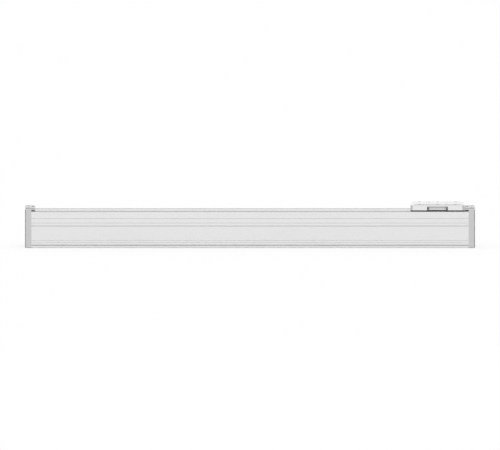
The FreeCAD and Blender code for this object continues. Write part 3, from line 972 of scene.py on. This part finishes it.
@dataclass
class AxisEnd:
    """One end of the axis: cap, strip clamp, pad, buffers and their screws."""

    end: End
    body: str = "axis_frame"
    cap_screw_length: float = 16.2 * MM
    clamp_screw_length: float = 6.0 * MM

    def node(self, piece: str) -> str:
        """Name of this end's node for a kind of piece."""
        return f"{self.end.value}_{piece}"

    def dress(self) -> None:
        """Give each node that stays its finish."""
        dress(self.node("end_cap"))
        dress(self.node("buffers"))
        dress(self.node("strip_clamp"), CLAMP_PAINT)
        dress(self.node("clamp_pad"), FELT)

    def screw_cap(self, shape: SeatedCopies) -> None:
        """Make the four screws that hold the cap.

        Args:
            shape: The tree that puts them on their seats.
        """
        low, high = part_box(self.node("cap_screws"))
        top = high.x if self.end is End.RIGHT else low.x
        inset = M4_CYLINDER.head_radius
        seats = [Seat(Vector((top, y, z)), self.end.outward)
                 for y in inset_pair(low.y, high.y, inset) for z in inset_pair(low.z, high.z, inset)]
        M4_CYLINDER.grow(shape, self.node("cap_screws"), self.body, seats, self.cap_screw_length)

    def screw_clamp(self, shape: SeatedCopies) -> None:
        """Make the two screws that hold the strip clamp.

        Args:
            shape: The tree that puts them on their seats.
        """
        low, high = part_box(self.node("clamp_screws"))
        x = (low.x + high.x) / 2
        rows = inset_pair(low.y, high.y, M3_COUNTERSUNK.head_radius)
        seats = [Seat(Vector((x, y, high.z)), UP) for y in rows]
        M3_COUNTERSUNK.grow(shape, self.node("clamp_screws"), self.body, seats, self.clamp_screw_length)


@dataclass
class Slide:
    """The part that moves: runner, saddle, table, end plates and seal."""

    body: str = "slide"
    table_screw_length: float = 12.0 * MM
    wiper_screw_length: float = 4.9 * MM
    thread_radius: float = 2.1 * MM
    thread_pitch: float = 0.8 * MM
    thread_depth: float = 5.0 * MM
    thread_spacing_x: float = 24.0 * MM
    thread_spacing_y: float = 44.0 * MM
    lug_radius: float = 1.25 * MM
    lug_pitch: float = 0.5 * MM
    lug_depth: float = 4.3 * MM
    lug_spacing: float = 25.2 * MM
    lug_rise: float = 1.8 * MM
    notch_depth: float = 4.0 * MM
    seal_wall: float = 5.0 * MM
    seal_lip: float = 0.5 * MM
    seal_corner: float = 1.2 * MM
    ball_radius: float = 1.6 * MM
    ball_pitch: float = 3.3 * MM
    ball_offset: float = 0.6 * MM
    lower_ball_height: float = 6.4 * MM
    upper_ball_height: float = 10.9 * MM

    def dress(self) -> None:
        """Give each node that stays its finish."""
        for node in ("runner_block", "runner_cap_screws", "saddle_screws"):
            dress(node)
        for end in End:
            for piece in ("runner_cap", "runner_seal", "wiper"):
                dress(f"{end.value}_{piece}")
        for node in ("saddle", "table_plate"):
            dress(node, MILLED)

    def middle(self) -> float:
        """Place of the table's middle along the axis."""
        low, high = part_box("table_plate")
        return (low.x + high.x) / 2

    def screw_table(self, shape: SeatedCopies) -> None:
        """Make the four screws in the table's top.

        Args:
            shape: The tree that puts them on their seats.
        """
        low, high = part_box("table_screws")
        inset = M3_COUNTERSUNK.head_radius
        seats = [Seat(Vector((x, y, high.z)), UP)
                 for x in inset_pair(low.x, high.x, inset) for y in inset_pair(low.y, high.y, inset)]
        M3_COUNTERSUNK.grow(shape, "table_screws", self.body, seats, self.table_screw_length, PLATED)

    def screw_wipers(self, shape: SeatedCopies) -> None:
        """Make the small screws in the two end plates.

        Args:
            shape: The tree that puts them on their seats.
        """
        low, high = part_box("wiper_screws")
        z = (low.z + high.z) / 2
        rows = inset_pair(low.y, high.y, SMALL_CYLINDER.head_radius)
        tops = ((low.x, End.LEFT), (high.x, End.RIGHT))
        seats = [Seat(Vector((x, y, z)), end.outward) for x, end in tops for y in rows]
        SMALL_CYLINDER.grow(shape, "wiper_screws", self.body, seats, self.wiper_screw_length)

    def thread_table(self, shape: ThreadTurns) -> None:
        """Cut the turns of the threads in the table's top and in its front notch.

        Args:
            shape: The thread's tree.
        """
        low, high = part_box("table_plate")
        middle = self.middle()
        columns = [middle + step * self.thread_spacing_x for step in (-1, 0, 1)]
        rows = even_pair(self.thread_spacing_y)
        top = [Seat(Vector((x, y, high.z)), UP) for x in columns for y in rows]
        y, z = low.y + self.notch_depth, low.z + self.lug_rise
        lug = [Seat(Vector((middle + step, y, z)), FORWARD) for step in even_pair(self.lug_spacing)]
        sets = (
            ("table_thread_turns", top, self.thread_radius, self.thread_pitch, self.thread_depth),
            ("lug_thread_turns", lug, self.lug_radius, self.lug_pitch, self.lug_depth),
        )
        for name, seats, radius, pitch, depth in sets:
            piece = shape.cut(name, seats, MILLED, radius, pitch, depth)
            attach(piece, self.body)

    def seal_table(self, shape: LipSeal) -> None:
        """Make the lip seal under the table.

        Args:
            shape: The seal's tree.
        """
        low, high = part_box("slide_seal")
        seats = [Seat(Vector((self.middle(), 0, low.z)), UP)]
        sizes = {"Length": high.x - low.x, "Width": high.y - low.y, "Height": high.z - low.z,
                 "Wall": self.seal_wall, "Lip": self.seal_lip, "Corner": self.seal_corner}
        piece = shape.grow("slide_seal_lip", seats, RUBBER, sizes)
        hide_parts("slide_seal")
        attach(piece, self.body)

    def fill_tracks(self, shape: BallRows) -> None:
        """Lay the bearing balls in the runner's four tracks.

        Args:
            shape: The rows' tree.
        """
        block_low, block_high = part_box("runner_block")
        rail_low, rail_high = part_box("guide_rail")
        length = block_high.x - block_low.x
        count = int((length - 2 * self.ball_radius) // self.ball_pitch) + 1
        start = (block_low.x + block_high.x - (count - 1) * self.ball_pitch) / 2
        sides = (rail_low.y - self.ball_offset, rail_high.y + self.ball_offset)
        heights = (self.lower_ball_height, self.upper_ball_height)
        seats = [Seat(Vector((start, y, rail_low.z + z)), ALONG) for y in sides for z in heights]
        sizes = {"Radius": self.ball_radius, "Pitch": self.ball_pitch, "Count": count}
        piece = shape.grow("bearing_balls", seats, BALL_STEEL, sizes)
        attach(piece, self.body)


@dataclass(frozen=True)
class Studio:
    """Soft light from all round, a white floor and the camera."""

    image_width: int = 500
    pixel: float = 4 / 3 * MM
    elevation: float = math.radians(4.1)
    aim_height: float = 28.6 * MM
    camera_distance: float = 2.0
    view_depth: float = 50.0
    side_light: float = 0.5
    front_light: float = 1.0
    top_light: float = 0.42
    soft_gain: float = 1.6
    floor_half: float = 9.0
    floor_drop: float = 0.1 * MM
    floor_glow: float = 0.82
    floor_seen: float = 0.19
    floor_colour: float = 0.85
    low_ray_blend: float = 0.5

    def place_camera(self) -> None:
        """Set up the camera: a long lens from the front, a little above."""
        data = bpy.data.cameras.new("front_camera")
        data.type = "ORTHO"
        data.ortho_scale = self.image_width * self.pixel
        data.clip_end = self.view_depth
        camera = bpy.data.objects.new("front_camera", data)
        back = Vector((0, -math.cos(self.elevation), math.sin(self.elevation)))
        camera.location = Vector((0, 0, self.aim_height)) + back * self.camera_distance
        camera.rotation_euler = (-back).to_track_quat("-Z", "Y").to_euler()
        bpy.context.scene.collection.objects.link(camera)
        bpy.context.scene.camera = camera

    @staticmethod
    def seen(wiring: Wiring) -> tuple[Socket, Socket]:
        """Tell by what kind of ray a surface is seen.

        Args:
            wiring: The shader's wiring.

        Returns:
            Whether the camera looks straight at it, and whether the camera, a reflection or glass shows it.
        """
        path = wiring.add("ShaderNodeLightPath").outputs
        through = wiring.calc("MAXIMUM", path["Is Glossy Ray"], path["Is Transmission Ray"])
        return path["Is Camera Ray"], wiring.calc("MAXIMUM", path["Is Camera Ray"], through)

    def light(self) -> None:
        """Light the scene from all round: brightest in front and behind, less from the sides and above."""
        world = bpy.data.worlds.new("soft_studio")
        wiring = Wiring.fresh(world)
        direction = wiring.add("ShaderNodeTexCoord").outputs["Generated"]
        squared = wiring.vector("MULTIPLY", direction, direction)
        level = wiring.vector("DOT_PRODUCT", squared, (self.side_light, self.front_light, self.top_light))
        straight, shown = self.seen(wiring)
        soft = wiring.product(level, wiring.span(shown, RISING, (self.soft_gain, 1.0)))
        strength = wiring.calc("MAXIMUM", soft, straight)
        background = wiring.add("ShaderNodeBackground", {"Color": WHITE, "Strength": strength})
        wiring.add("ShaderNodeOutputWorld", {"Surface": background.outputs[0]})
        bpy.context.scene.world = world

    def lay_floor(self) -> None:
        """Lay the white floor, which keeps a faint shadow and is clear from below."""
        half, z = self.floor_half, CAD_BOX[0].z - self.floor_drop
        corners = [(-half, -half, z), (half, -half, z), (half, half, z), (-half, half, z)]
        mesh = bpy.data.meshes.new("floor")
        mesh.from_pydata(corners, [], [(0, 1, 2, 3)])
        mesh.materials.append(self.floor_material())
        floor = bpy.data.objects.new("floor", mesh)
        bpy.context.scene.collection.objects.link(floor)

    def floor_material(self) -> bpy.types.Material:
        """Make the floor's material: white when seen straight or in low reflections, and plain otherwise.

        Returns:
            The material, which keeps the shade of what stands on it.
        """
        made = bpy.data.materials.new("floor_white")
        # Only sight and reflections meet the glow, so it isn't to be sampled as a lamp.
        made.cycles.emission_sampling = "NONE"
        wiring = Wiring.fresh(made)
        pale, plain = (wiring.add("ShaderNodeBsdfDiffuse", {"Color": (*grey(level), 1.0)}).outputs[0]
                       for level in (self.floor_seen, self.floor_colour))
        glow = wiring.add("ShaderNodeEmission", {"Color": WHITE, "Strength": self.floor_glow}).outputs[0]
        shown = wiring.add("ShaderNodeAddShader", {0: glow, 1: pale}).outputs[0]
        straight, seen = self.seen(wiring)
        low_ray = wiring.add("ShaderNodeLayerWeight", {"Blend": self.low_ray_blend}).outputs["Facing"]
        white = wiring.calc("MAXIMUM", straight, wiring.product(seen, low_ray))
        upper = wiring.add("ShaderNodeMixShader", {0: white, 1: plain, 2: shown}).outputs[0]
        below = wiring.add("ShaderNodeNewGeometry").outputs["Backfacing"]
        clear = wiring.add("ShaderNodeBsdfTransparent").outputs[0]
        both = wiring.add("ShaderNodeMixShader", {0: below, 1: upper, 2: clear}).outputs[0]
        wiring.add("ShaderNodeOutputMaterial", {"Surface": both})
        return made


def main() -> None:
    """Dress the axis, add its fine pieces, and set the stage."""
    logging.basicConfig(level=logging.INFO, format="%(name)s %(message)s")
    bpy.context.scene.view_settings.view_transform = "Standard"
    screw, thread = SeatedCopies(), ThreadTurns()
    axis = AxisFrame()
    axis.dress()
    axis.shear_strip()
    axis.thread_base(thread)
    for end in End:
        axis_end = AxisEnd(end)
        axis_end.dress()
        axis_end.screw_cap(screw)
        axis_end.screw_clamp(screw)
    slide = Slide()
    slide.dress()
    slide.screw_table(screw)
    slide.screw_wipers(screw)
    slide.thread_table(thread)
    slide.seal_table(LipSeal())
    slide.fill_tracks(BallRows())
    studio = Studio()
    studio.light()
    studio.lay_floor()
    studio.place_camera()


if __name__ == "__main__":
    main()
